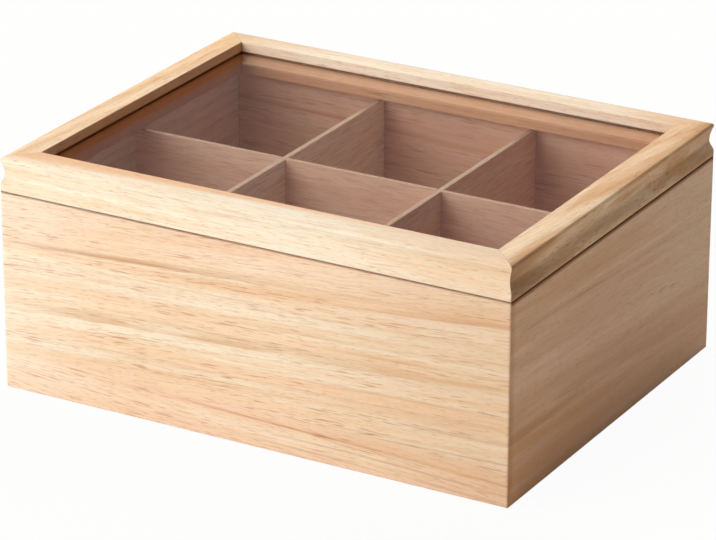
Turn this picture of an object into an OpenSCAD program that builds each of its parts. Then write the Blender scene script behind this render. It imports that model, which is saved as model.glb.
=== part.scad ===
// Wooden box with six compartments and a hinged lid, a mitred moulded frame around a clear pane.
// All sizes are in millimetres. The origin is the middle of the underside, +Z is up and -Y is the front.

/* [Box] */
// Outer width of the box, left to right
box_w = 290; // [240:1:340]
// Outer depth of the box, front to back
box_d = 225; // [180:1:280]
// Height of the walls, from the underside to the lid
box_h = 107; // [80:1:140]
// Thickness of the four walls
wall_t = 10; // [9:0.5:14]
// Radius of the upright corners
box_corner_r = 1.5; // [0.5:0.1:3]
// Size of the eased edges along the rim
rim_ease = 0.3; // [0.2:0.1:1]
// Size of the eased edge along the foot of the walls
foot_ease = 1.2; // [0.4:0.1:2]
// Thickness of the base panel
base_t = 4; // [3:0.5:6]
// How far the base panel is let into the walls
base_let_in = 5; // [3:0.5:6]
// Gap between the base panel's edges and the walls
base_gap = 0.1; // [0.05:0.05:0.3]

/* [Dividers] */
// Thickness of the dividers
divider_t = 3; // [2:0.5:5]
// How far the dividers' tops stay below the rim
divider_drop = 1.5; // [0.5:0.5:10]
// Size of the eased edges on the dividers' tops
divider_ease = 0.4; // [0.1:0.1:0.8]
// Depth of the grooves that hold the dividers' ends
slot_depth = 2.5; // [1.5:0.5:4]
// Gap between a divider's end and the bottom of its groove
slot_end_gap = 0.2; // [0.1:0.1:0.3]
// Clearance on each side of a divider in its groove or lap
divider_fit = 0.1; // [0.05:0.05:0.25]

/* [Lid frame] */
// Height of the lid
lid_h = 19; // [17:0.5:24]
// Width of the lid's rails, seen from above
rail_w = 15.5; // [14:0.5:22]
// Radius of the lid's corners
lid_corner_r = 1.4; // [0.5:0.1:4]
// Height of the shadow line between the lid and the box
shadow_h = 0.4; // [0.2:0.1:1]
// Depth of the shadow line
shadow_w = 3; // [2:0.5:5]
// How far the lid's lower edge is set back from the widest point of the moulding
lid_foot_in = 0.3; // [0.2:0.1:1.5]
// Height of the widest point of the moulding above the rim
flare_h = 2; // [1.5:0.1:4]
// Depth of the moulding's hollow
cove_in = 2.2; // [1:0.1:3]
// How far the lip is set back from the widest point of the moulding
lip_in = 0.6; // [0.2:0.1:1]
// How far the lip's underside is below the lid's top
lip_drop = 2.6; // [2:0.1:4]
// How far the rounded nose is below the lid's top
nose_drop = 0.7; // [0.3:0.1:1.2]
// Width of the rounded nose
nose_w = 2; // [1.5:0.1:3]
// Width of the gently crowned margin on the lid's top
crown_w = 7.5; // [5:0.5:10]
// Size of the eased inner edges of the rails
rail_ease = 0.4; // [0.2:0.1:0.8]

/* [Lid pane] */
// Thickness of the clear pane
pane_t = 2; // [1.5:0.5:3]
// How far the pane's top is below the lid's top
pane_drop = 6; // [4:0.5:7]
// How far the grooves in the rails run in from the opening
pane_let_in = 5; // [3:0.5:6]
// Gap above the pane in its grooves
pane_play = 0.4; // [0.2:0.1:0.6]
// Gap between the pane's edges and the bottoms of its grooves
pane_edge_gap = 0.3; // [0.1:0.1:0.5]

/* [Hinges] */
// Length of each hinge
hinge_len = 28; // [24:1:40]
// Distance from the end of the box to the middle of each hinge
hinge_inset = 60; // [40:1:80]
// How far the pins stand behind the back wall
axis_out = 0.5; // [0.2:0.1:1]
// Angle at which the stop tails of the two leaves meet
stop_angle = 101; // [95:1:110]
// Length of the stop tails, from the pin
tail_reach = 5; // [4:0.5:6]
// How far the ends of the stop tails are set in from the leaves' ends
tail_end_in = 1; // [0.5:0.5:2]
// Thickness of the leaves
leaf_t = 0.9; // [0.7:0.1:1.2]
// Depth of each leaf's face below the face of the wood
leaf_sink = 0.1; // [0.05:0.05:0.2]
// Wood left between the leaves and the inside of the box
leaf_margin = 1.5; // [1:0.5:2.5]
// Clearance around the leaves in their recesses
leaf_fit = 0.1; // [0.05:0.05:0.3]
// Radius of the hinge pins
pin_r = 1; // [0.8:0.1:1.2]
// Rise of the domed ends of the pins
pin_dome = 0.4; // [0.2:0.1:0.6]
// Radial clearance of the pins in the box leaves
pin_hold = 0.02; // [0.01:0.01:0.04]
// Radial clearance of the pins in the lid leaves
pin_play = 0.05; // [0.03:0.01:0.1]
// Gap between neighbouring knuckles
knuckle_gap = 0.2; // [0.1:0.05:0.4]
// Clearance of the knuckles from the wood and from the other leaf
knuckle_clear = 0.3; // [0.3:0.05:0.5]

/* [Screws] */
// Radius of the screws' shanks
screw_r = 0.9; // [0.7:0.1:1]
// Radius of the screws' heads
screw_head_r = 1.8; // [1.5:0.1:2]
// Length of the screws
screw_len = 8; // [6:0.5:9]
// Distance from the end of a hinge to its nearest screw
screw_end = 5.5; // [4:0.5:7]
// Length of the screws' points
screw_point = 2; // [1:0.5:3]
// Thickness left in the leaves under the screws' heads
head_land = 0.2; // [0.1:0.05:0.3]
// Width of the cross recess in the heads
recess_w = 0.5; // [0.3:0.1:0.6]
// Depth of the cross recess in the heads
recess_depth = 0.5; // [0.3:0.1:0.6]
// Clearance of the screws in the leaves and in the wood
screw_fit = 0.03; // [0.01:0.01:0.05]

/* [Hidden] */
$fn = 48;
// Points on each eased edge or curve of a profile
steps = 8;
// Overshoot of a cutting body past the face that it cuts
cut = 1;
// Share of the moulding's slope over which it bends into the flare and into the hollow
bend_share = 0.15;
// Share of a leaf's flat at which its screws sit
screw_share = 0.6;
// Share of a head's radius that the cross recess reaches
recess_share = 0.62;
knuckles = 5;

divider_h = box_h - divider_drop - base_t;
lap_h = divider_h / 2;
slot_w = divider_t + 2 * divider_fit;
inner_w = box_w - 2 * wall_t;
inner_d = box_d - 2 * wall_t;
cell_w = (inner_w - 2 * divider_t) / 3;
cross_x = (cell_w + divider_t) / 2;
divider_reach = 2 * (slot_depth - slot_end_gap);
base_inset = wall_t - base_let_in + base_gap;
pane_inset = rail_w - pane_let_in + pane_edge_gap;
pane_top = lid_h - pane_drop;
lip_h = lid_h - lip_drop;
cove_h = (flare_h + lip_h) / 2;
bend_h = (cove_h - flare_h) * bend_share;
hinge_x = box_w / 2 - hinge_inset;
axis_y = box_d / 2 + axis_out;
leaf_reach = axis_out + wall_t - leaf_margin;
pitch = hinge_len / knuckles;
tail_len = hinge_len - 2 * tail_end_in;
head_h = leaf_t - head_land;
knuckle_r = pin_r + pin_play + leaf_t;
clear_r = knuckle_r + knuckle_clear;
screw_x = hinge_len / 2 - screw_end;
screw_y = axis_out + (wall_t - leaf_margin) * screw_share;
screw_xs = [-screw_x, screw_x];
box_knuckles = [0, 2, 4];
lid_knuckles = [1, 3];
sides = [-1, 1];
front = 0;
right = 90;
back = 180;
left = 270;

wood = "burlywood";
plywood = "tan";
plated = "goldenrod";
clear = "lightblue";

// A curve from a to b that leaves and arrives along the lines to the point pull
function curve(a, pull, b) = [for (i = [0:steps])
    let (t = i / steps) (1 - t) * (1 - t) * a + 2 * t * (1 - t) * pull + t * t * b];

// An eased corner: the curve that replaces the sharp corner between the directions to a and to b
function eased(corner, a, b, size) = curve(corner + size * a, corner, corner + size * b);

// The rounded half corner of a board's outline, from its outer face to the mitre
function corner_arc(length, r) = [for (i = [0:steps])
    let (a = 45 * i / steps - 90) [length / 2 - r + r * cos(a), r + r * sin(a)]];

function mirrored(points) = [for (i = [len(points) - 1:-1:0]) [-points[i].x, points[i].y]];

// Outline of a mitred board, seen from above: x along the board, y inwards from its outer face
function mitre_outline(length, width, r) = concat(
    mirrored(corner_arc(length, r)),
    corner_arc(length, r),
    [[length / 2 - width - cut, width + cut], [width + cut - length / 2, width + cut]]);

// Cross-section of a wall: x inwards from its outer face, y up
wall_profile = concat(
    eased([0, 0], [1, 0], [0, 1], foot_ease),
    eased([0, box_h], [0, -1], [1, 0], rim_ease),
    eased([wall_t, box_h], [-1, 0], [0, -1], rim_ease),
    [[wall_t, base_t], [wall_t - base_let_in, base_t], [wall_t - base_let_in, 0]]);

// Cross-section of a lid rail: x inwards from the moulding's widest point, y up from the rim
rail_profile = concat(
    [[shadow_w, 0], [shadow_w, shadow_h]],
    curve([lid_foot_in, shadow_h], [0, shadow_h], [0, flare_h]),
    curve([0, flare_h], [0, flare_h + bend_h], [cove_in / 2, (flare_h + cove_h) / 2]),
    curve([cove_in / 2, (flare_h + cove_h) / 2], [cove_in, cove_h - bend_h], [cove_in, cove_h]),
    curve([cove_in, cove_h], [cove_in, (cove_h + lip_h) / 2], [lip_in, lip_h]),
    curve([lip_in, lip_h], [lip_in, lid_h - nose_drop], [nose_w, lid_h - nose_drop]),
    curve([nose_w, lid_h - nose_drop], [(nose_w + crown_w) / 2, lid_h], [crown_w, lid_h]),
    eased([rail_w, lid_h], [-1, 0], [0, -1], rail_ease),
    [[rail_w, pane_top + pane_play], [rail_w - pane_let_in, pane_top + pane_play],
        [rail_w - pane_let_in, pane_top - pane_t], [rail_w, pane_top - pane_t]],
    eased([rail_w, 0], [0, 1], [-1, 0], rail_ease));

// A board with the given cross-section, its ends mitred and its outer corners rounded
module mitred_board(profile, length, width, r, height) {
    intersection() {
        rotate([90, 0, 90])
            linear_extrude(length + 2 * cut, center = true)
                polygon(profile);
        translate([0, 0, -cut])
            linear_extrude(height + 2 * cut)
                polygon(mitre_outline(length, width, r));
    }
}

// Moves a board, drawn inwards from y = 0, to the side that faces the given way
module on_side(facing, distance) {
    rotate([0, 0, facing])
        translate([0, -distance, 0])
            children();
}

// A wall with grooves for dividers at the given places along it
module wall(facing, length, distance, slots) {
    on_side(facing, distance)
        difference() {
            mitred_board(wall_profile, length, wall_t, box_corner_r, box_h);
            for (x = slots)
                translate([x - slot_w / 2, wall_t - slot_depth, base_t - cut])
                    cube([slot_w, slot_depth + cut, box_h]);
        }
}

module rail(facing, length, distance) {
    on_side(facing, distance)
        translate([0, 0, box_h])
            mitred_board(rail_profile, length, rail_w, lid_corner_r, lid_h);
}

// A divider along X, eased at the top, centred over the base panel
module divider_blank(length) {
    translate([0, -divider_t / 2, base_t])
        rotate([90, 0, 90])
            linear_extrude(length, center = true)
                polygon(concat(
                    [[0, 0]],
                    eased([0, divider_h], [0, -1], [1, 0], divider_ease),
                    eased([divider_t, divider_h], [-1, 0], [0, -1], divider_ease),
                    [[divider_t, 0]]));
}

// A cross divider with its lap cut from below
module cross_divider(side) {
    translate([side * cross_x, 0, 0])
        rotate([0, 0, 90])
            difference() {
                divider_blank(inner_d + divider_reach);
                translate([-slot_w / 2, -divider_t, base_t - cut])
                    cube([slot_w, 2 * divider_t, lap_h + cut]);
            }
}

// Places a thing drawn about a hinge's pin: x along the pin, y backwards, z up
module at_hinge(side) {
    translate([side * hinge_x, axis_y, box_h])
        children();
}

// A round bar along X
module bar(r, length) {
    rotate([0, 90, 0])
        cylinder(r = r, h = length, center = true);
}

// Places a thing at the middle of each of the given knuckles
module at_knuckles(which) {
    for (i = which)
        translate([(i + 0.5) * pitch - hinge_len / 2, 0, 0])
            children();
}

// A leaf that lies below the pin, with its own knuckles, room for the other leaf's and a stop tail
module leaf(own, other, bore_r) {
    difference() {
        union() {
            translate([-hinge_len / 2, -leaf_reach, -leaf_sink - leaf_t])
                cube([hinge_len, leaf_reach, leaf_t]);
            at_knuckles(own)
                bar(knuckle_r, pitch - knuckle_gap);
            rotate([-stop_angle / 2, 0, 0])
                translate([-tail_len / 2, 0, -leaf_t])
                    cube([tail_len, tail_reach, leaf_t]);
        }
        at_knuckles(other)
            bar(clear_r, pitch + knuckle_gap);
        bar(bore_r, hinge_len + 2 * cut);
        for (x = screw_xs)
            translate([x, -screw_y, -leaf_sink])
                countersink();
    }
}

// The hole in a leaf for a screw whose head is level with z = 0
module countersink() {
    rotate_extrude()
        polygon([[0, cut], [screw_head_r + screw_fit, cut], [screw_head_r + screw_fit, 0],
            [screw_r + screw_fit, -head_h], [screw_r + screw_fit, -leaf_t - cut], [0, -leaf_t - cut]]);
}

// A screw that points down, its head level with z = 0
module screw() {
    difference() {
        rotate_extrude()
            polygon([[0, 0], [screw_head_r, 0], [screw_r, -head_h],
                [screw_r, screw_point - screw_len], [0, -screw_len]]);
        for (turn = [0, 90])
            rotate([0, 0, turn])
                translate([-screw_head_r * recess_share, -recess_w / 2, -recess_depth])
                    cube([2 * screw_head_r * recess_share, recess_w, recess_depth + cut]);
    }
}

// The two screws of the leaf that lies below the pin
module leaf_screws() {
    for (x = screw_xs)
        translate([x, -screw_y, -leaf_sink])
            screw();
}

// What the wood below the pin loses to a hinge: the leaf's bed, the barrel's and the screws' holes
module hinge_recess() {
    translate([-hinge_len / 2 - leaf_fit, -leaf_reach - leaf_fit, -leaf_sink - leaf_t])
        cube([hinge_len + 2 * leaf_fit, leaf_reach + cut, leaf_sink + leaf_t + cut]);
    bar(clear_r, hinge_len + 2 * (pin_dome + knuckle_clear));
    for (x = screw_xs)
        translate([x, -screw_y, -leaf_sink - screw_len - screw_fit])
            cylinder(r = screw_r + screw_fit, h = screw_len);
}

module front_panel() {
    color(wood)
        wall(front, box_w, box_d / 2, [-cross_x, cross_x]);
}

module back_panel() {
    color(wood)
        difference() {
            wall(back, box_w, box_d / 2, [-cross_x, cross_x]);
            for (side = sides)
                at_hinge(side)
                    hinge_recess();
        }
}

module left_panel() {
    color(wood)
        wall(left, box_d, box_w / 2, [0]);
}

module right_panel() {
    color(wood)
        wall(right, box_d, box_w / 2, [0]);
}

module base_panel() {
    color(plywood)
        translate([base_inset - box_w / 2, base_inset - box_d / 2, 0])
            cube([box_w - 2 * base_inset, box_d - 2 * base_inset, base_t]);
}

module long_divider() {
    color(plywood)
        difference() {
            divider_blank(inner_w + divider_reach);
            for (side = sides)
                translate([side * cross_x - slot_w / 2, -divider_t, base_t + lap_h])
                    cube([slot_w, 2 * divider_t, lap_h + cut]);
        }
}

module left_cross_divider() {
    color(plywood)
        cross_divider(-1);
}

module right_cross_divider() {
    color(plywood)
        cross_divider(1);
}

module box_leaf(side) {
    color(plated)
        at_hinge(side)
            leaf(box_knuckles, lid_knuckles, pin_r + pin_hold);
}

module lid_leaf(side) {
    color(plated)
        at_hinge(side)
            mirror([0, 0, 1])
                leaf(lid_knuckles, box_knuckles, pin_r + pin_play);
}

// A pin with domed ends, held by the box leaf
module hinge_pin(side) {
    color(plated)
        at_hinge(side)
            rotate([0, 90, 0])
                rotate_extrude()
                    polygon(concat(
                        curve([0, -hinge_len / 2 - pin_dome], [pin_r, -hinge_len / 2 - pin_dome],
                            [pin_r, -hinge_len / 2]),
                        curve([pin_r, hinge_len / 2], [pin_r, hinge_len / 2 + pin_dome],
                            [0, hinge_len / 2 + pin_dome])));
}

module left_hinge_box_leaf() box_leaf(-1);
module right_hinge_box_leaf() box_leaf(1);
module left_hinge_pin() hinge_pin(-1);
module right_hinge_pin() hinge_pin(1);
module left_hinge_lid_leaf() lid_leaf(-1);
module right_hinge_lid_leaf() lid_leaf(1);

module box_hinge_screws() {
    color(plated)
        for (side = sides)
            at_hinge(side)
                leaf_screws();
}

module lid_hinge_screws() {
    color(plated)
        for (side = sides)
            at_hinge(side)
                mirror([0, 0, 1])
                    leaf_screws();
}

module lid_front_rail() {
    color(wood)
        rail(front, box_w, box_d / 2);
}

module lid_back_rail() {
    color(wood)
        difference() {
            rail(back, box_w, box_d / 2);
            for (side = sides)
                at_hinge(side)
                    mirror([0, 0, 1])
                        hinge_recess();
        }
}

module lid_left_rail() {
    color(wood)
        rail(left, box_d, box_w / 2);
}

module lid_right_rail() {
    color(wood)
        rail(right, box_d, box_w / 2);
}

module lid_pane() {
    color(clear)
        translate([pane_inset - box_w / 2, pane_inset - box_d / 2, box_h + pane_top - pane_t])
            cube([box_w - 2 * pane_inset, box_d - 2 * pane_inset, pane_t]);
}

front_panel();
back_panel();
left_panel();
right_panel();
base_panel();
long_divider();
left_cross_divider();
right_cross_divider();
left_hinge_box_leaf();
right_hinge_box_leaf();
left_hinge_pin();
right_hinge_pin();
box_hinge_screws();
lid_front_rail();
lid_back_rail();
lid_left_rail();
lid_right_rail();
lid_pane();
left_hinge_lid_leaf();
right_hinge_lid_leaf();
lid_hinge_screws();
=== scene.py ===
# %% [markdown]
# # A wooden compartment box with a glazed lid
# The walls, dividers, lid rails, pane and hinges arrive as finished solids, and this lesson dresses them:
# clear-finished rubberwood glued up from staves, thin rotary-cut dividers, a clear acrylic sheet and
# brass-plated hinges. Every pattern is worked out from sizes in millimetres on the object's own coordinates,
# so it stays where it is when the lid swings or the camera goes round.

import math

import bpy
import numpy as np
from mathutils import Matrix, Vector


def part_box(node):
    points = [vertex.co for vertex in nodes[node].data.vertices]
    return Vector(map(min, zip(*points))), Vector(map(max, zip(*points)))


MM = 1000  # millimetres in a metre: the recipes are in millimetres, and Blender's own lengths in metres


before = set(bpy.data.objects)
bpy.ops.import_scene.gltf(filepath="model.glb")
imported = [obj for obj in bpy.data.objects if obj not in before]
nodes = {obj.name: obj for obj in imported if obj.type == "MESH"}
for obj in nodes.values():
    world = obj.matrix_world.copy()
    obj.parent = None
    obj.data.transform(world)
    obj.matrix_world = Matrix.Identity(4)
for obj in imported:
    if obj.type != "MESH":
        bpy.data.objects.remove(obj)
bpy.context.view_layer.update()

# %% [markdown]
# ## The camera
# The picture was taken with a long lens from the right of the front, a little above the box. The camera's
# place and direction were solved from the box's straight edges. A camera, like a lamp, looks along its own -Z
# with +Y up. A constraint could aim it, but three directions, right, up and back, put straight into its matrix
# give exactly the solved view.


# %% Aim a camera or a lamp
def level_axes(back):
    """Right, up and back of something that stands level. Back is one long and points from what it looks at
    to itself, right is square to back and to +Z, and up is square to both."""
    right = np.cross([0, 0, 1], back)
    right /= np.linalg.norm(right)
    return right, np.cross(back, right), back


def place_by(made, right, up, back, at):
    """Puts an object at a place, its X, Y and Z along right, up and back: the four are the columns of its
    matrix."""
    columns = np.column_stack([right, up, back, at])
    made.matrix_world = Matrix([*columns.tolist(), [0, 0, 0, 1]])


# %% Camera at the photograph's viewing angle
CAMERA_AT = (0.93823, -1.65754, 0.83960)  # metres
AZIMUTH, ELEVATION, ROLL = 29.558, 22.414, -0.144  # degrees
FOCAL_IN_PIXELS, PICTURE_WIDTH = 4013.1, 716
SENSOR = 36.0  # millimetres
NEAR, FAR = 0.1, 50  # metres

camera = bpy.data.objects.new("camera", bpy.data.cameras.new("camera"))
bpy.context.scene.collection.objects.link(camera)
bpy.context.scene.camera = camera
camera.data.sensor_width = SENSOR
camera.data.lens = FOCAL_IN_PIXELS / PICTURE_WIDTH * SENSOR
camera.data.clip_start, camera.data.clip_end = NEAR, FAR
a, e, r = np.radians([AZIMUTH, ELEVATION, ROLL])
right, up, back = level_axes(np.array([np.sin(a) * np.cos(e), -np.cos(a) * np.cos(e), np.sin(e)]))
rolled = right * np.cos(r) - up * np.sin(r), right * np.sin(r) + up * np.cos(r)
place_by(camera, *rolled, back, CAMERA_AT)
print("lens", round(camera.data.lens, 1), "mm on a", SENSOR, "mm sensor")

# %% [markdown]
# ## Two helpers for materials
# Colours are written as sRGB hex, the way a picker shows them, and a shader needs them linear. The second
# helper adds any node with its settings and links, and hands back the output that the next node reads, so
# that each recipe reads as a list of steps.


# %% From a picked colour to linear light
def linear(hex_colour):
    """The linear RGBA of an sRGB hex colour: each channel c becomes c/12.92, or ((c+0.055)/1.055)^2.4
    where c is above 0.04045."""
    c = np.array([int(hex_colour[i : i + 2], 16) for i in (1, 3, 5)]) / 255
    low = c / 12.92
    high = ((c + 0.055) / 1.055) ** 2.4
    return (*np.where(c > 0.04045, high, low).tolist(), 1.0)


print("sRGB #808080 is", [round(v, 3) for v in linear("#808080")[:3]], "in linear light")

# %% The node helper
SMOOTH = dict(interpolation_type="SMOOTHSTEP")  # settings of a Map Range whose ends are soft
COLOURS = dict(data_type="RGBA", out=2)  # settings of a Mix node for colours
FACTOR, UNDER, OVER = 0, 6, 7  # that node's inputs: it shows Under at factor 0 and Over at factor 1


def add(tree, kind, *values, out=0, named=None, **settings):
    """Adds a node of that kind and returns one of its outputs. Settings are the node's own properties.
    Values fill its inputs in order, and named fills them by name or number. A value is a socket to link
    from, a hex colour, or a plain constant."""
    node = tree.nodes.new("ShaderNode" + kind)
    for key, value in settings.items():
        setattr(node, key, value)
    for key, value in [*enumerate(values), *(named or {}).items()]:
        if isinstance(value, bpy.types.NodeSocket):
            tree.links.new(value, node.inputs[key])
        else:
            node.inputs[key].default_value = linear(value) if isinstance(value, str) else value
    return node.outputs[out] if node.outputs else None


def new_material(name):
    """An empty material of that name, and its node tree."""
    material = bpy.data.materials.new(name)
    material.use_nodes = True
    material.node_tree.nodes.clear()
    return material, material.node_tree


def dress(node, material):
    """Puts the material in the slot of a solid's object."""
    slots = nodes[node].data.materials
    slots.clear()
    slots.append(material)


# %% [markdown]
# ## Rubberwood
# The walls and the lid's rails are rubberwood (hevea), planed, sanded and given a clear satin lacquer. What
# the eye sees: a pale straw ground, tone bands of 5 to 20 mm that follow the growth rings, here and there a
# growth line with one sharp side, fine fibre streaks, and the short brown dashes of open vessels, which crowd
# along some rings. The walls are glued up from three staves, each with its own tone and grain slope. Boards
# meet in mitres, which show as hairlines. Inside the box the wood is darkened and browned with painted shade.
#
# A wood picture could be wrapped round each board, but a solid pattern in 3-D runs over the eased edges by
# itself, as it does in real wood. So the recipe works on board coordinates in millimetres: u along the
# board, w inwards from its outer face, v up.

# %% Rubberwood: the board's own coordinates
SEED_STEPS = (1.0, 2.3, -1.7)  # which way a seed moves the noise, so that no two patterns line up


def board_coordinates(tree, facing, distance):
    """u, w and v in millimetres: along the board, inwards from its outer face, and up. Facing is the side
    of the box in degrees, and distance is how far that side's face is from the middle."""
    place = add(tree, "TexCoord", out="Object")
    turned = add(tree, "Mapping", place, (0, distance, 0), (0, 0, math.radians(facing)), (MM, MM, MM))
    return add(tree, "SeparateXYZ", turned).node.outputs[:3]


def streaks(tree, grain, run_mm, width_mm, seed, detail=1.0):
    """Noise on grain coordinates, stretched so that its cells are run_mm long and width_mm thick. It lies
    mostly between 0.3 and 0.7, and each mark picks the part of that range in which it shows."""
    size = (1 / run_mm, 1 / width_mm, 1 / width_mm)
    start = tuple(seed * step for step in SEED_STEPS)
    cell = add(tree, "Mapping", grain, start, (0, 0, 0), size)
    return add(tree, "TexNoise", named={"Vector": cell, "Scale": 1.0, "Detail": detail})


# %% Rubberwood: staves
STAVE_STEP = 31.7  # how far a board's staves lie from each other in the noise


def stave_facts(tree, u, v, staves, seed):
    """Each stave is (height of the glue line under it, its rise, then the facts of the stave: grain slope,
    brownness, rosiness, open pores). Above each glue line the facts of that stave take over: the step to
    them is added where v - rise u is above the height."""
    last = [seed, *staves[0][2:]]
    now = list(last)
    for k, (height, rise, *facts) in enumerate(staves[1:], 1):
        over = add(tree, "Math", u, -rise, v, operation="MULTIPLY_ADD")
        above = add(tree, "Math", over, height, operation="GREATER_THAN")
        facts = [seed + STAVE_STEP * k, *facts]
        steps = [b - a for a, b in zip(last, facts)]
        now = [add(tree, "Math", above, step, value, operation="MULTIPLY_ADD")
               for step, value in zip(steps, now)]
        last = facts
    return now


# %% Rubberwood: grain
WANDER_MM, WANDER_RUN_MM, WANDER_WIDTH_MM = 3.0, 190.0, 55.0  # how far the grain wanders, and over what
SHIFT_MM = 7.3  # how far across the grain a stave's noise moves for each step of its seed


def grain_lines(tree, u, w, v, shift, slope, skew):
    """The height of the grain line through a point, v - slope u plus a slow wander, and the grain
    coordinates for noise, in which every stave lies somewhere else."""
    board = add(tree, "CombineXYZ", u, add(tree, "Math", v, shift), w)
    wander = streaks(tree, board, WANDER_RUN_MM, WANDER_WIDTH_MM, seed=3.1)
    climb = add(tree, "Math", u, slope, operation="MULTIPLY")
    level = add(tree, "Math", v, climb, operation="SUBTRACT")
    level = add(tree, "Math", wander, 2 * WANDER_MM, level, operation="MULTIPLY_ADD")
    across = add(tree, "Math", shift, SHIFT_MM, level, operation="MULTIPLY_ADD")
    depth = add(tree, "Math", u, -skew, w, operation="MULTIPLY_ADD")
    return level, add(tree, "CombineXYZ", u, across, depth)


# %% Rubberwood: colour of the bare wood
TAN, BLUSH, BROWN = "#DEAA76", "#FAD6BA", "#BE8658"
BAND_MM, BAND_RUN_MM = 7.0, 240.0  # broad tone bands, across and along the grain
BAND_RANGE = (0.36, 0.64)  # of the noise: the first tone up to here, the second from there
RING_MM = 19.0  # from one ring edge to the next
RING_SHARPNESS, RING_WAVE = 2.5, 1.8  # how suddenly a ring ends, and how much the bands bend it
PATCH_MM, PATCH_RUN_MM = 14.0, 130.0  # clouds of browner or rosier wood
BROWN_RANGE, ROSY_RANGE = (0.2, 0.62), (0.75, 0.35)


def wood_ground(tree, grain, tones, brown, blush, rings, lean):
    """Light to dark tones in bands, then rings that darken slowly and end sharply, the fraction of the ring
    count to a power, and then clouds of rose and brown."""
    bands = streaks(tree, grain, BAND_RUN_MM, BAND_MM, seed=0.7, detail=3.0)
    tone = add(tree, "MapRange", bands, *BAND_RANGE, **SMOOTH)
    colour = add(tree, "Mix", named={FACTOR: tone, UNDER: tones[0], OVER: tones[1]}, **COLOURS)

    parts = add(tree, "SeparateXYZ", grain).node.outputs
    ring_at = add(tree, "Math", parts["Z"], lean, parts["Y"], operation="MULTIPLY_ADD")
    ring_at = add(tree, "Math", ring_at, RING_MM, operation="DIVIDE")
    ring_at = add(tree, "Math", bands, RING_WAVE, ring_at, operation="MULTIPLY_ADD")
    within = add(tree, "Math", ring_at, operation="FRACT")
    ring = add(tree, "Math", within, RING_SHARPNESS, operation="POWER")
    ring = add(tree, "Math", ring, rings, operation="MULTIPLY")
    colour = add(tree, "Mix", named={FACTOR: ring, UNDER: colour, OVER: TAN}, **COLOURS)

    cloud = streaks(tree, grain, PATCH_RUN_MM, PATCH_MM, seed=4.4, detail=2.0)
    for clouds, strength, stain in ((ROSY_RANGE, blush, BLUSH), (BROWN_RANGE, brown, BROWN)):
        patch = add(tree, "MapRange", cloud, *clouds, **SMOOTH)
        patch = add(tree, "Math", patch, strength, operation="MULTIPLY")
        colour = add(tree, "Mix", named={FACTOR: patch, UNDER: colour, OVER: stain}, **COLOURS)
    return colour


# %% Rubberwood: growth lines and drifts
FAINT_MM, FAINT_RUN_MM, FAINT_RANGE = 5.0, 60.0, (0.3, 0.6)  # where a growth line comes and goes
LINE_FROM_MM, LINE_TO_MM = -0.5, 0.8  # the sharp lower edge of a growth line


def growth_lines(tree, colour, u, level, grain, lines):
    """A growth line is (height at the middle, how far it fades upwards, the u where it starts, the u where it
    is full, strength, colour). It shows between its sharp lower edge and its fading tail."""
    faint = streaks(tree, grain, FAINT_RUN_MM, FAINT_MM, seed=6.6, detail=2.0)
    faint = add(tree, "MapRange", faint, *FAINT_RANGE, **SMOOTH)
    for at, fade, start, full, strength, stain in lines:
        edge = add(tree, "MapRange", level, at + LINE_FROM_MM, at + LINE_TO_MM, **SMOOTH)
        tail = add(tree, "MapRange", level, at + fade, at, 0.0, strength, **SMOOTH)
        line = add(tree, "Math", edge, tail, operation="MULTIPLY")
        line = add(tree, "Math", line, faint, operation="MULTIPLY")
        run = add(tree, "MapRange", u, start, full, **SMOOTH)
        line = add(tree, "Math", line, run, operation="MULTIPLY")
        colour = add(tree, "Mix", named={FACTOR: line, UNDER: colour, OVER: stain}, **COLOURS)
    return colour


def slow_drifts(tree, colour, place, drifts):
    """A drift is (direction in u, w, v, start, end, strength, colour): the colour turns slowly to that colour
    along that direction. Some drifts are the wood's own tone, and some are painted light and shade, marked
    where the boards list them."""
    spot = add(tree, "CombineXYZ", *place)
    for direction, start, end, strength, stain in drifts:
        along = add(tree, "VectorMath", spot, direction, out="Value", operation="DOT_PRODUCT")
        drift = add(tree, "MapRange", along, start, end, 0.0, strength, **SMOOTH)
        colour = add(tree, "Mix", named={FACTOR: drift, UNDER: colour, OVER: stain}, **COLOURS)
    return colour


# %% Rubberwood: the small marks
SPECK, VESSEL = "#C28A5A", "#B2672F"
FIBRE_MM, FIBRE_RUN_MM = 0.75, 16.0  # fibre streaks, drawn coarser than real so that they show
FIBRE_RANGE, FIBRE_SHADE = (0.46, 0.74), 0.42
SPECK_MM, SPECK_RUN_MM = 0.5, 5.0  # the small pores that lie everywhere, also drawn coarser
SPECK_RANGE, SPECK_SHADE = (0.55, 0.8), 0.45
VESSEL_MM, VESSEL_RUN_MM = 0.75, 13.0  # noise cells that leave dashes of about half that size
VESSEL_RANGE, VESSEL_SHADE = (0.86, 1.06), 0.5
CROWD_MM, CROWD_RUN_MM, CROWDING = 6.0, 90.0, 0.45  # the bands that vessels crowd in
OPENNESS = 0.1  # what a stave's open pores add to its vessels


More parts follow.
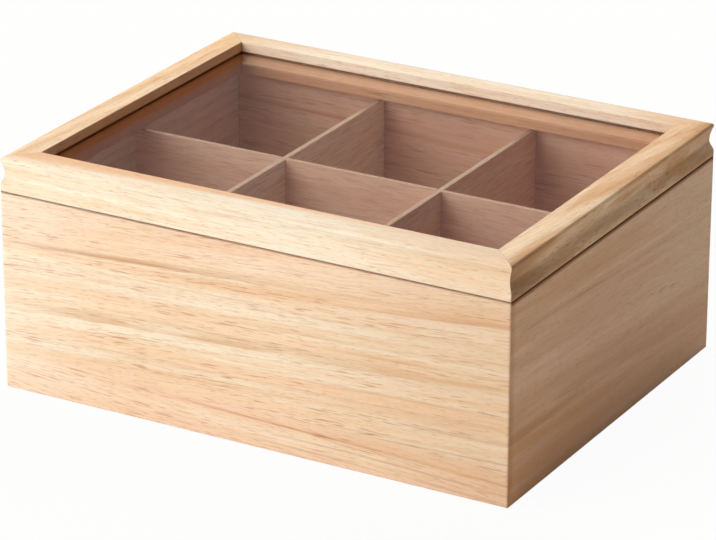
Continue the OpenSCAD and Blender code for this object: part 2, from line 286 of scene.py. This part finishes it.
def wood_marks(tree, colour, grain, open_pores):
    """Fibre streaks, small pores and the open vessels that crowd along some rings, which show where the sum
    of their own noise, the crowd's and the stave's openness is high. Gives the colour, the fibres and the
    vessels."""
    fibre = streaks(tree, grain, FIBRE_RUN_MM, FIBRE_MM, seed=1.9, detail=4.0)
    fine = add(tree, "MapRange", fibre, *FIBRE_RANGE, 0.0, FIBRE_SHADE, **SMOOTH)
    colour = add(tree, "Mix", named={FACTOR: fine, UNDER: colour, OVER: TAN}, **COLOURS)
    specks = streaks(tree, grain, SPECK_RUN_MM, SPECK_MM, seed=7.7)
    small = add(tree, "MapRange", specks, *SPECK_RANGE, 0.0, SPECK_SHADE, **SMOOTH)
    colour = add(tree, "Mix", named={FACTOR: small, UNDER: colour, OVER: SPECK}, **COLOURS)
    vessels = streaks(tree, grain, VESSEL_RUN_MM, VESSEL_MM, seed=5.3)
    crowd = streaks(tree, grain, CROWD_RUN_MM, CROWD_MM, seed=8.9)
    crowded = add(tree, "Math", crowd, CROWDING, vessels, operation="MULTIPLY_ADD")
    crowded = add(tree, "Math", open_pores, OPENNESS, crowded, operation="MULTIPLY_ADD")
    pore = add(tree, "MapRange", crowded, *VESSEL_RANGE, **SMOOTH)
    shade = add(tree, "Math", pore, VESSEL_SHADE, operation="MULTIPLY")
    return add(tree, "Mix", named={FACTOR: shade, UNDER: colour, OVER: VESSEL}, **COLOURS), fibre, pore


print("vessel dashes about", round(VESSEL_RUN_MM / 2, 1), "by", round(VESSEL_MM / 2, 2), "mm")

# %% [markdown]
# Where pieces meet, the colour is browner. The mitres are dark hairlines. At the joint between box and lid,
# and in the groove that holds the pane and down the face below it, the brown is painted shade, and there the
# lacquer is also duller. Thin dark solids could stand for that, but as colour it follows the real edges of the
# boards, because those lie at known places in board coordinates.

# %% Rubberwood: inner faces and joints
SEAM_AND_SHADE_BROWN = "#743A14"
# Painted shade: these two colours darken the inner faces inside the box.
WALL_INSIDE_SHADE, RAIL_UNDER_PANE_SHADE = "#ECD8D6", "#E6BC9E"  # the inner faces are the same wood, darkened by these
RIM = 107.0  # height of the joint between the box and the lid
PANE_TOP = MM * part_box("lid_pane")[1][2]
# Painted shade in the pane's groove and down the face below it:
GROOVE_DEPTH = 5.0  # of the pane's groove, from the inner face
GROOVE_OVER = (1.3, 0.4)  # how far above the pane's upper face its brown begins, and where it is full
GROOVE_UNDER, GROOVE_FADE = 7.0, 3.0  # how far it reaches below, and the power by which it fades
# Painted shade in the gap at the rim, under the lid:
JOINT_CORE = 0.3  # half the height in which the rim's joint is brownest
JOINT_DEPTH = (1.3, 0.5)  # depths from the outer face at which the joint's brown begins and is full
EDGE_MM = 0.4  # over this depth a face or a groove begins
print("the pane's upper face lies at", round(PANE_TOP, 2), "mm")


def inner_face(tree, colour, w, v, inside, below, inside_shade):
    """Painted shade: darkens what is deeper than inside and lower than below."""
    inner = add(tree, "MapRange", w, inside - EDGE_MM, inside, **SMOOTH)
    low = add(tree, "MapRange", v, below, below - 0.5, **SMOOTH)
    both = add(tree, "Math", inner, low, operation="MULTIPLY")
    return add(tree, "Mix", named={FACTOR: both, UNDER: colour, OVER: inside_shade}, blend_type="MULTIPLY", **COLOURS)


def pane_groove(tree, colour, w, v, inside):
    """Painted shade: the groove of the pane is dark brown, and this shade fades over the face below with the
    cube of the height. Gives the colour and the mask of the painted shade, which also dulls the lacquer."""
    bottom = inside - GROOVE_DEPTH
    groove = add(tree, "MapRange", w, bottom, bottom + EDGE_MM, **SMOOTH)
    over = add(tree, "MapRange", v, *(PANE_TOP + edge for edge in GROOVE_OVER), **SMOOTH)
    under = add(tree, "MapRange", v, PANE_TOP - GROOVE_UNDER, PANE_TOP)
    under = add(tree, "Math", under, GROOVE_FADE, operation="POWER")
    shade_and_dullness = add(tree, "Math", over, under, operation="MULTIPLY")
    shade_and_dullness = add(tree, "Math", shade_and_dullness, groove, operation="MULTIPLY")
    return add(tree, "Mix", named={FACTOR: shade_and_dullness, UNDER: colour, OVER: SEAM_AND_SHADE_BROWN}, **COLOURS), shade_and_dullness


def rim_joint(tree, colour, w, v, spread, brownness):
    """The same painted shade for the gap at the rim, under the lid: brownest where v is the rim's height, and
    gone a spread away.
    """
    away = add(tree, "Math", add(tree, "Math", v, RIM, operation="SUBTRACT"), operation="ABSOLUTE")
    shade_and_dullness = add(tree, "MapRange", away, spread, JOINT_CORE, 0.0, brownness, **SMOOTH)
    outer = add(tree, "MapRange", w, *JOINT_DEPTH, **SMOOTH)
    shade_and_dullness = add(tree, "Math", shade_and_dullness, outer, operation="MULTIPLY")
    return add(tree, "Mix", named={FACTOR: shade_and_dullness, UNDER: colour, OVER: SEAM_AND_SHADE_BROWN}, **COLOURS), shade_and_dullness


def mitre_seams(tree, colour, u, w, half_length, spread, brownness):
    """The mitre at each end is a plane: half the length less |u| equals w there."""
    end = add(tree, "Math", half_length, add(tree, "Math", u, operation="ABSOLUTE"), operation="SUBTRACT")
    end = add(tree, "Math", end, w, operation="SUBTRACT")
    seam = add(tree, "MapRange", end, spread, 0.0, 0.0, brownness, **SMOOTH)
    return add(tree, "Mix", named={FACTOR: seam, UNDER: colour, OVER: SEAM_AND_SHADE_BROWN}, **COLOURS)


# %% Rubberwood: lacquer
SATIN, FIBRE_DULLNESS, PORE_DULLNESS, BARE_DULLNESS = 0.46, 0.12, 0.15, 0.6  # roughness, and what adds to it
RELIEF_MM, RELIEF_STRENGTH = 0.03, 0.3
FIBRE_RELIEF, PORE_RELIEF = 0.35, -0.3  # shares of the relief: fibres stand up and pores sink in
LACQUER_IOR, LACQUER_GLOSS = 1.45, 0.12  # thin and rubbed down, so that it mirrors little


def satin_lacquer(tree, colour, fibre, pore, shade_and_dullness):
    """Satin lacquer doesn't reach into groove, joint and pores, which are dull. The roughness is a sum of
    shares, and so is the relief."""
    dull = add(tree, "Math", fibre, FIBRE_DULLNESS, SATIN, operation="MULTIPLY_ADD")
    dull = add(tree, "Math", pore, PORE_DULLNESS, dull, operation="MULTIPLY_ADD")
    dull = add(tree, "Math", shade_and_dullness, BARE_DULLNESS, dull, operation="MULTIPLY_ADD")
    relief = add(tree, "Math", pore, PORE_RELIEF, operation="MULTIPLY")
    relief = add(tree, "Math", fibre, FIBRE_RELIEF, relief, operation="MULTIPLY_ADD")
    bump = add(tree, "Bump", named={"Strength": RELIEF_STRENGTH, "Distance": RELIEF_MM / MM, "Height": relief})
    lacquer = {"Base Color": colour, "Roughness": dull, "Normal": bump, "IOR": LACQUER_IOR,
               "Specular IOR Level": LACQUER_GLOSS}
    add(tree, "OutputMaterial", add(tree, "BsdfPrincipled", named=lacquer))


# %% Rubberwood: the whole recipe
def rubberwood(name, facing, distance, half_length, staves, seed, tones, lines=(), rings=0.35, lean=0.6,
               skew=0.0, drifts=(), joint=(0.9, 0.5), mitre=(0.3, 0.4), inside=9.5, below=RIM + 5,
               inside_shade=WALL_INSIDE_SHADE):
    """A clear-lacquered rubberwood board. Rings is how strongly its rings show, lean how fast they go by with
    depth, and skew how far the grain runs out sideways. Joint says how far the painted shade of the rim's
    joint spreads, in millimetres, and how strong it is, and mitre the same for the brown hairline of the
    mitres. Inside is the depth at which the inner face begins, which is darkened with painted shade up to the
    height below."""
    material, tree = new_material(name)
    u, w, v = place = board_coordinates(tree, facing, distance)
    shift, slope, brown, blush, open_pores = stave_facts(tree, u, v, staves, seed)
    level, grain = grain_lines(tree, u, w, v, shift, slope, skew)
    colour = wood_ground(tree, grain, tones, brown, blush, rings, lean)
    colour = growth_lines(tree, colour, u, level, grain, lines)
    colour = slow_drifts(tree, colour, place, drifts)
    colour, fibre, pore = wood_marks(tree, colour, grain, open_pores)
    colour = inner_face(tree, colour, w, v, inside, below, inside_shade)
    colour, groove_shade = pane_groove(tree, colour, w, v, inside)
    colour, joint_shade = rim_joint(tree, colour, w, v, *joint)
    colour = mitre_seams(tree, colour, u, w, half_length, *mitre)
    shade_and_dullness = add(tree, "Math", groove_shade, joint_shade, operation="MAXIMUM")
    satin_lacquer(tree, colour, fibre, pore, shade_and_dullness)
    return material


# %% [markdown]
# ## The walls
# Each wall is a board of three staves. On the front one a rosy stave runs along the rim, with a rust-coloured
# growth line at its left end and another at its right. A wide straw-coloured stave in the middle has tan lines
# that climb slowly to the right, and a narrow rosy one at the foot has thin rust-coloured lines. The whole
# board is painted paler at its left end and darker to the right: painted light from the lamp at the front
# left.
# The right wall is rosier and browner, partly as painted shade, for it faces away from the lamps. It is
# painted paler towards its back end as painted light, and darker towards the bottom, along the front corner
# and under the lid as painted shade. A brown growth line runs just above its upper glue line.

# %% Dress the walls
FRONT, RIGHT, BACK, LEFT = 0, -90, 180, 90  # degrees
HALF_W, HALF_D = 145.0, 112.5  # half the box's width and depth
RUST, UMBER = "#BE7440", "#D49C5C"
ALL_ALONG = (500, -100)  # a line that never ends, and only pales a little to the right
walls = {
    "front_panel": dict(
        facing=FRONT, distance=HALF_D, half_length=HALF_W, seed=2.0, tones=("#FFF3DA", "#FCDFBC"), rings=0.35,
        staves=[(0, 0, -0.035, 0.05, 0.7, 0.5), (20.6, 0, 0.045, 0.08, 0.1, 0.55),
                (81, 0, 0.06, 0.08, 0.6, 0.5)],
        lines=[(54, 9, *ALL_ALONG, 0.6, UMBER), (91, 4, 60, -60, 0.7, RUST), (67, 8, -60, 60, 0.35, UMBER),
               (86, 5, 40, 110, 0.55, RUST), (28, 6, 20, 80, 0.4, RUST), (18, 1.6, -70, 0, 0.65, RUST),
               (13, 1.4, -20, 60, 0.65, RUST), (8, 2.0, -40, 40, 0.5, RUST),
               (62, 4, 10, 90, 0.6, UMBER), (42, 3, -10, 80, 0.5, UMBER)],
        # painted light: paler at the left end, nearest the lamp, and darker towards the right
        drifts=[((1, 0, 0), -60, -150, 0.4, "#FFF6E2"), ((1, 0, 0), 0, 150, 0.3, "#C89E74")]),
    "right_panel": dict(
        # the tones are browner partly as painted shade, for this wall faces away from the lamps
        facing=RIGHT, distance=HALF_W, half_length=HALF_D, seed=11.0, tones=("#F8D4B0", "#E9B78C"),
        staves=[(0, 0, -0.03, 0.25, 0.2, -0.3), (21, -0.044, -0.06, 0.15, 0.4, -0.3),
                (84.5, -0.022, -0.05, 0.1, 0.2, -0.3)],
        # a wider joint here: painted shadow of the lid on this wall
        joint=(2.6, 0.8), lines=[(29, 26, *ALL_ALONG, 0.6, BROWN), (85, 5, *ALL_ALONG, 0.5, BROWN)],
        # painted light paler towards the back end; painted shade darker towards the bottom and along the front
        # corner
        drifts=[((1, 0, 0), -40, 115, 0.5, "#FFE4C6"), ((0, 0, -1), -70, -5, 0.4, "#DC9C66"),
                ((-1, 0, 0), 106, 112, 0.4, "#C07A4A")]),
    "back_panel": dict(
        facing=BACK, distance=HALF_D, half_length=HALF_W, seed=19.0, tones=("#FDEBCE", "#F6D7B2"),
        staves=[(0, 0, -0.02, 0.2, 0.6, 0.4), (38, 0, 0.01, 0.1, 0.3, 0.5), (77, 0, 0.02, 0.2, 0.6, 0.5)],
        lines=[(52, 10, *ALL_ALONG, 0.6, UMBER), (90, 5, -100, 100, 0.6, RUST)]),
    "left_panel": dict(
        facing=LEFT, distance=HALF_W, half_length=HALF_D, seed=27.0, tones=("#FFFAEE", "#FFF0DE"),
        staves=[(0, 0, 0.0, 0.1, 0.4, 0.4), (30, 0, 0.02, 0.2, 0.7, 0.5), (70, 0, -0.01, 0.1, 0.3, 0.4)],
        lines=[(45, 12, *ALL_ALONG, 0.6, UMBER)]),
}
for node, facts in walls.items():
    dress(node, rubberwood(f"lacquered_rubberwood_{node}", **facts))
print("walls dressed:", len(walls))

# %% [markdown]
# ## The lid's rails
# The rails are cut from single pieces, so they have no glue lines. The front and back ones are palest in the
# middle. The right one is more golden, and its grain runs out across the face at a slant. Below the pane their
# inner faces get painted shade. The back rail's inner face is also painted paler, as painted light, and the
# left rail's darker, as painted shade, for that face looks away from the lamps.

# %% Dress the rails
rails = {
    "lid_front_rail": dict(
        facing=FRONT, distance=HALF_D, half_length=HALF_W, seed=41.0, tones=("#FEF6E1", "#FCEACC"),
        staves=[(0, 0, 0.0, 0.0, 0.1, -0.7)], rings=0.2,
        drifts=[((1, 0, 0), 20, 150, 0.45, "#E9C09A"), ((-1, 20, 0), 140, 290, 0.9, "#F3C294")]),
    "lid_right_rail": dict(
        facing=RIGHT, distance=HALF_W, half_length=HALF_D, seed=44.0, tones=("#FBDDB6", "#E2AD7C"),
        staves=[(0, 0, 0.03, 0.1, 0.0, 0.3)], joint=(0.9, 0.8), rings=0.5, lean=2.2, skew=-0.14,
        drifts=[((-1, -16, 0), 40, 88, 0.65, "#A06E46"), ((1, -12, 0), 50, 110, 0.4, "#A8764C"),
                ((-1, 12, 0), 140, 185, 0.5, "#FFE6C4")]),
    "lid_back_rail": dict(
        facing=BACK, distance=HALF_D, half_length=HALF_W, seed=53.0, tones=("#FFF4DD", "#FAE3C4"),
        staves=[(0, 0, 0.01, 0.05, 0.1, -0.5)], rings=0.3,
        drifts=[((1, 0, 0), -80, -145, 0.6, "#E2AA6C"), ((1, 0, 0), 60, 145, 0.6, "#E6B888"),
                # painted light: the inner face is paler
                ((0, 1, 0), 14.8, 15.3, 0.35, "#FFF6E6")]),
    "lid_left_rail": dict(
        facing=LEFT, distance=HALF_W, half_length=HALF_D, seed=61.0, tones=("#FBE0BC", "#F3CC9E"),
        staves=[(0, 0, 0.0, 0.05, 0.1, 0.1)], lean=2.0, skew=-0.1,
        # painted shade: the inner face, which looks away from the lamps, is darker
        drifts=[((0, 1, 0), 14.8, 15.3, 0.45, "#C08A5E")]),
}
# Painted shade darkens the rails' inner faces below the pane.
under_pane = dict(inside=15.0, below=PANE_TOP, inside_shade=RAIL_UNDER_PANE_SHADE)  # the part of the inner faces that is brown
for node, facts in rails.items():
    dress(node, rubberwood(f"lacquered_rubberwood_{node}", **under_pane, **facts))
print("rails dressed:", len(rails))

# %% [markdown]
# ## Thin boards
# The dividers and the base are 3 to 4 mm boards with a rotary-cut face, peeled off a turning log, which has
# no rings to speak of: an even, slightly rosy ground with crowded pores of 1 to 2 mm. They have a matt sealer,
# and their sawn top edges are browner than their faces. Rubberwood's recipe would give them rings and vessels
# that they don't have, so they get a shorter one of their own.

# %% Thin boards: the recipe
PEEL_FIBRE, PEEL_PORE, SAWN_EDGE = "#CB9070", "#A8714E", "#CF9E78"
PEEL_BAND_MM, PEEL_BAND_RUN_MM, PEEL_BAND_RANGE = 10.0, 140.0, (0.3, 0.7)
PEEL_FIBRE_MM, PEEL_FIBRE_RUN_MM, PEEL_FIBRE_RANGE, PEEL_FIBRE_SHADE = 0.7, 14.0, (0.42, 0.72), 0.55
PEEL_PORE_MM, PEEL_PORE_RUN_MM, PEEL_PORE_RANGE, PEEL_PORE_SHADE = 0.55, 3.4, (0.6, 0.8), 0.45
PEEL_RELIEF_MM, PEEL_RELIEF_STRENGTH, PEEL_FIBRE_RELIEF, PEEL_PORE_RELIEF = 0.08, 0.4, 0.5, -0.6
DIVIDER_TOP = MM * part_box("long_divider")[1][2]
SAWN_FROM, SAWN_FULL, SAWN_SHADE = 0.35, 0.1, 0.8  # millimetres below the top, and how strong it is
MATT, MATT_FIBRE = 0.55, 0.15  # roughness of the sealer, and what fibres add to it
print("the dividers' tops lie at", round(DIVIDER_TOP, 1), "mm")


def thin_board(name, facing, seed, tones):
    """A thin, matt, fine-pored board whose grain runs along it. Tones are the light and dark of its bands,
    over which fibres, pores and the sawn top edge are laid one after the other."""
    material, tree = new_material(name)
    u, w, v = board_coordinates(tree, facing, 0)
    grain = add(tree, "CombineXYZ", u, v, w)
    bands = streaks(tree, grain, PEEL_BAND_RUN_MM, PEEL_BAND_MM, seed, detail=2.0)
    bands = add(tree, "MapRange", bands, *PEEL_BAND_RANGE, **SMOOTH)
    fibre = streaks(tree, grain, PEEL_FIBRE_RUN_MM, PEEL_FIBRE_MM, seed + 2.1, detail=3.0)
    fine = add(tree, "MapRange", fibre, *PEEL_FIBRE_RANGE, 0.0, PEEL_FIBRE_SHADE, **SMOOTH)
    pores = streaks(tree, grain, PEEL_PORE_RUN_MM, PEEL_PORE_MM, seed + 4.7)
    pores = add(tree, "MapRange", pores, *PEEL_PORE_RANGE, **SMOOTH)
    dark = add(tree, "Math", pores, PEEL_PORE_SHADE, operation="MULTIPLY")
    edge = DIVIDER_TOP - SAWN_FROM, DIVIDER_TOP - SAWN_FULL
    sawn = add(tree, "MapRange", v, *edge, 0.0, SAWN_SHADE, **SMOOTH)
    colour = add(tree, "Mix", named={FACTOR: bands, UNDER: tones[0], OVER: tones[1]}, **COLOURS)
    for share, stain in ((fine, PEEL_FIBRE), (dark, PEEL_PORE), (sawn, SAWN_EDGE)):
        colour = add(tree, "Mix", named={FACTOR: share, UNDER: colour, OVER: stain}, **COLOURS)
    relief = add(tree, "Math", pores, PEEL_PORE_RELIEF, operation="MULTIPLY")
    relief = add(tree, "Math", fibre, PEEL_FIBRE_RELIEF, relief, operation="MULTIPLY_ADD")
    bump = {"Strength": PEEL_RELIEF_STRENGTH, "Distance": PEEL_RELIEF_MM / MM, "Height": relief}
    bump = add(tree, "Bump", named=bump)
    dull = add(tree, "Math", fibre, MATT_FIBRE, MATT, operation="MULTIPLY_ADD")
    sealer = {"Base Color": colour, "Roughness": dull, "Normal": bump, "IOR": LACQUER_IOR}
    add(tree, "OutputMaterial", add(tree, "BsdfPrincipled", named=sealer))
    return material


# %% Dress the dividers and the base
BOARD_STEP = 6.3  # how far the boards lie from each other in the noise
thin_boards = {
    "long_divider": (FRONT, ("#F8D0B6", "#F0C2A4")),
    # paler tones than the right cross divider: painted light
    "left_cross_divider": (RIGHT, ("#FFF0DE", "#FDE4CE")),
    "right_cross_divider": (RIGHT, ("#FFE6D2", "#F9D8BE")),
    "base_panel": (FRONT, ("#F6CBAE", "#EDBB9A")),
}
for k, (node, (facing, tones)) in enumerate(thin_boards.items()):
    dress(node, thin_board(f"sealed_thin_board_{node}", facing, BOARD_STEP * k, tones))
print("thin boards dressed:", len(thin_boards))

# %% [markdown]
# ## The pane
# A 2 mm sheet of clear acrylic, polished by its casting. It is a real sheet with two faces, so the shader
# bends and mirrors what the camera sees by itself, with acrylic's own IOR of 1.49. Handling leaves a faint
# haze that only shows in the roughness. Bent light is hard for a path tracer to find its lamps with, and the
# box would be too dark inside. So shadow and diffuse rays, which only carry light, pass each face straight,
# with the few per cent loss that a real face has.

# %% Pane
SHEET_CLEAR, FACE_CLEAR = "#FBFCFC", "#F9FAFA"  # what the sheet and what each face lets through
HAZE_MM, HAZE_ROUGHNESS = 30.0, 0.02
PANE_IOR = 1.49
FACE_LOSS = ((PANE_IOR - 1) / (PANE_IOR + 1)) ** 2  # mirrored away where light meets a face squarely
material, tree = new_material("cast_acrylic_sheet")
u, w, v = board_coordinates(tree, FRONT, 0)
haze = streaks(tree, add(tree, "CombineXYZ", u, w, v), HAZE_MM, HAZE_MM, seed=0.4, detail=2.0)
rough = add(tree, "Math", haze, HAZE_ROUGHNESS, operation="MULTIPLY")
acrylic = {"Base Color": SHEET_CLEAR, "Roughness": rough, "IOR": PANE_IOR, "Transmission Weight": 1.0}
path = add(tree, "LightPath").node.outputs
carries = add(tree, "Math", path["Is Shadow Ray"], path["Is Diffuse Ray"], operation="MAXIMUM")
passed = add(tree, "BsdfTransparent", FACE_CLEAR)
shown = add(tree, "BsdfPrincipled", named=acrylic)
add(tree, "OutputMaterial", add(tree, "MixShader", carries, shown, passed))
dress("lid_pane", material)
print("pane dressed, each face mirrors", round(100 * FACE_LOSS, 1), "% of what meets it squarely")

# %% [markdown]
# ## Brass-plated hinges and screws
# Small butt hinges of pressed steel with a thin brass plating: a yellow metal, tumbled rather than polished,
# with faint rubbing marks and slightly browner patches. Solid brass would look the same, and a metal keeps
# Blender's own IOR.

# %% Hinges
BRASS, BROWNED_BRASS = "#CDB27C", "#A08050"
RUB_MM, RUB_RUN_MM, RUB_DEPTH_MM = 0.25, 3.0, 0.03  # rubbing marks, drawn coarser than real
STAIN_MM, STAIN_RUN_MM, STAIN_RANGE = 3.0, 4.0, (0.45, 0.75)
TUMBLED, RUB_DULLNESS = 0.18, 0.25  # roughness, and what the marks add to it
material, tree = new_material("brass_plated_steel")
u, w, v = board_coordinates(tree, FRONT, 0)
metal_grain = add(tree, "CombineXYZ", u, w, v)
rubbed = streaks(tree, metal_grain, RUB_RUN_MM, RUB_MM, seed=0.9, detail=3.0)
stain = streaks(tree, metal_grain, STAIN_RUN_MM, STAIN_MM, seed=3.6, detail=2.0)
stain = add(tree, "MapRange", stain, *STAIN_RANGE)
plating = {
    "Base Color": add(tree, "Mix", named={FACTOR: stain, UNDER: BRASS, OVER: BROWNED_BRASS}, **COLOURS),
    "Metallic": 1.0,
    "Roughness": add(tree, "Math", rubbed, RUB_DULLNESS, TUMBLED, operation="MULTIPLY_ADD"),
    "Normal": add(tree, "Bump", named={"Strength": 0.3, "Distance": RUB_DEPTH_MM / MM, "Height": rubbed}),
}
add(tree, "OutputMaterial", add(tree, "BsdfPrincipled", named=plating))
metal = [name for name in nodes if "hinge" in name]
for node in metal:
    dress(node, material)
print("metal pieces dressed:", len(metal))

# %% [markdown]
# ## Floor, backdrop and light
# The box stands on a plain white sheet in a bright studio. The sheet is a diffuse surface that keeps the
# box's shadow. To a camera, glossy or transmitted ray it shows most of its own white, so that the background
# is white without any more light on the wood.

# %% Floor
FLOOR_HALF, FLOOR_CELLS = 6.0, 8  # metres, and faces along a side
PAPER, WHITE = "#ECE4DA", "#FFFFFF"
FLOOR_WHITE = 0.96  # share of plain white in what the camera sees of the floor


def sheet_mesh(name, half, cells):
    """A flat square grid: x and y run evenly from -half to half, and z is 0."""
    s, t = np.meshgrid(np.linspace(-1, 1, cells + 1), np.linspace(-1, 1, cells + 1))
    points = np.stack([half * s, half * t, np.zeros_like(s)], -1).reshape(-1, 3)
    first = (np.arange(cells)[:, None] * (cells + 1) + np.arange(cells)).ravel()
    quads = np.stack([first, first + 1, first + cells + 2, first + cells + 1], 1)
    mesh = bpy.data.meshes.new(name)
    mesh.from_pydata(points.tolist(), [], quads.tolist())
    made = bpy.data.objects.new(name, mesh)
    bpy.context.scene.collection.objects.link(made)
    return made


def seen_ray(tree):
    """1 for camera, glossy and transmission rays that have met no diffuse surface, and 0 for the rays that
    carry light."""
    path = add(tree, "LightPath").node.outputs
    seen = add(tree, "Math", path["Is Camera Ray"], path["Is Glossy Ray"], operation="MAXIMUM")
    seen = add(tree, "Math", seen, path["Is Transmission Ray"], operation="MAXIMUM")
    straight = add(tree, "Math", path["Diffuse Depth"], 0.5, operation="LESS_THAN")
    return add(tree, "Math", seen, straight, operation="MULTIPLY")


floor = sheet_mesh("floor", FLOOR_HALF, FLOOR_CELLS)
material, tree = new_material("white_paper_sweep")
paper = add(tree, "BsdfDiffuse", PAPER)
white = add(tree, "Emission", WHITE, 1.0)
share = add(tree, "Math", seen_ray(tree), FLOOR_WHITE, operation="MULTIPLY")
add(tree, "OutputMaterial", add(tree, "MixShader", share, paper, white))
floor.data.materials.append(material)
print("floor:", len(floor.data.polygons), "faces,", 2 * FLOOR_HALF, "m square")

# %% [markdown]
# The world is a dim room for the light that falls on the wood. What the camera and the gloss see of it is
# white near the horizon, where the paper sweep stands, and the dimmer room higher up.

# %% World
AMBIENT, ROOM = 0.03, 0.14  # the light on the wood, and what the gloss sees of the room
SWEEP_TOP, SWEEP_FULL = 0.28, 0.2  # how far up a ray points where the sweep ends, and where it is white
world = bpy.data.worlds.new("studio")
bpy.context.scene.world = world
world.use_nodes = True
tree = world.node_tree
tree.nodes.clear()
height = add(tree, "SeparateXYZ", add(tree, "TexCoord", out="Object"), out="Z")
sweep = add(tree, "MapRange", height, SWEEP_TOP, SWEEP_FULL, **SMOOTH)
sweep = add(tree, "Math", sweep, add(tree, "LightPath", out="Is Camera Ray"), operation="MAXIMUM")
extra = add(tree, "Math", sweep, 1 - ROOM, ROOM - AMBIENT, operation="MULTIPLY_ADD")
level = add(tree, "Math", extra, seen_ray(tree), AMBIENT, operation="MULTIPLY_ADD")
add(tree, "OutputWorld", add(tree, "Background", WHITE, level))
print("the room gives", AMBIENT, "of white light")

# %% [markdown]
# A wide soft lamp stands at the front left, and a second one high behind the box. The right side sees
# neither: it gets its light from the white paper, which is why its lower faces are bright and the slope at
# its top is dark, and a little from a small low card on the right.


# %% Lamps
def lamp(name, at, aim, size, watts, mirrored=True):
    """A square white area lamp at a place, turned so that its -Z looks at the aim, all in metres. A lamp that
    isn't mirrored gives light but leaves no bright square in the pane."""
    data = bpy.data.lights.new(name, "AREA")
    data.shape, data.size, data.energy = "SQUARE", size, watts
    made = bpy.data.objects.new(name, data)
    bpy.context.scene.collection.objects.link(made)
    back = np.array(at, float) - np.array(aim, float)
    place_by(made, *level_axes(back / np.linalg.norm(back)), at)
    made.visible_camera = False
    made.visible_glossy = mirrored
    return made


lamps = [
    lamp("key", (-1.3, -1.9, 1.35), aim=(0, 0, 0.06), size=2.4, watts=77),
    lamp("back_high", (-0.3, 1.1, 1.5), aim=(0, 0, 0.12), size=1.2, watts=25),
    lamp("right_low", (1.3, -0.1, 0.25), aim=(0.14, 0, 0.06), size=0.4, watts=0.9, mirrored=False),
]
print("lamps:", [(made.name, round(made.data.energy, 1)) for made in lamps])

# %% [markdown]
# Blender's usual view transform is made for film-like pictures and dulls bright colours. Standard shows each
# colour as it is written.

# %% Colours as they are written
view = bpy.context.scene.view_settings
view.view_transform = "Standard"
print("view transform:", view.view_transform)
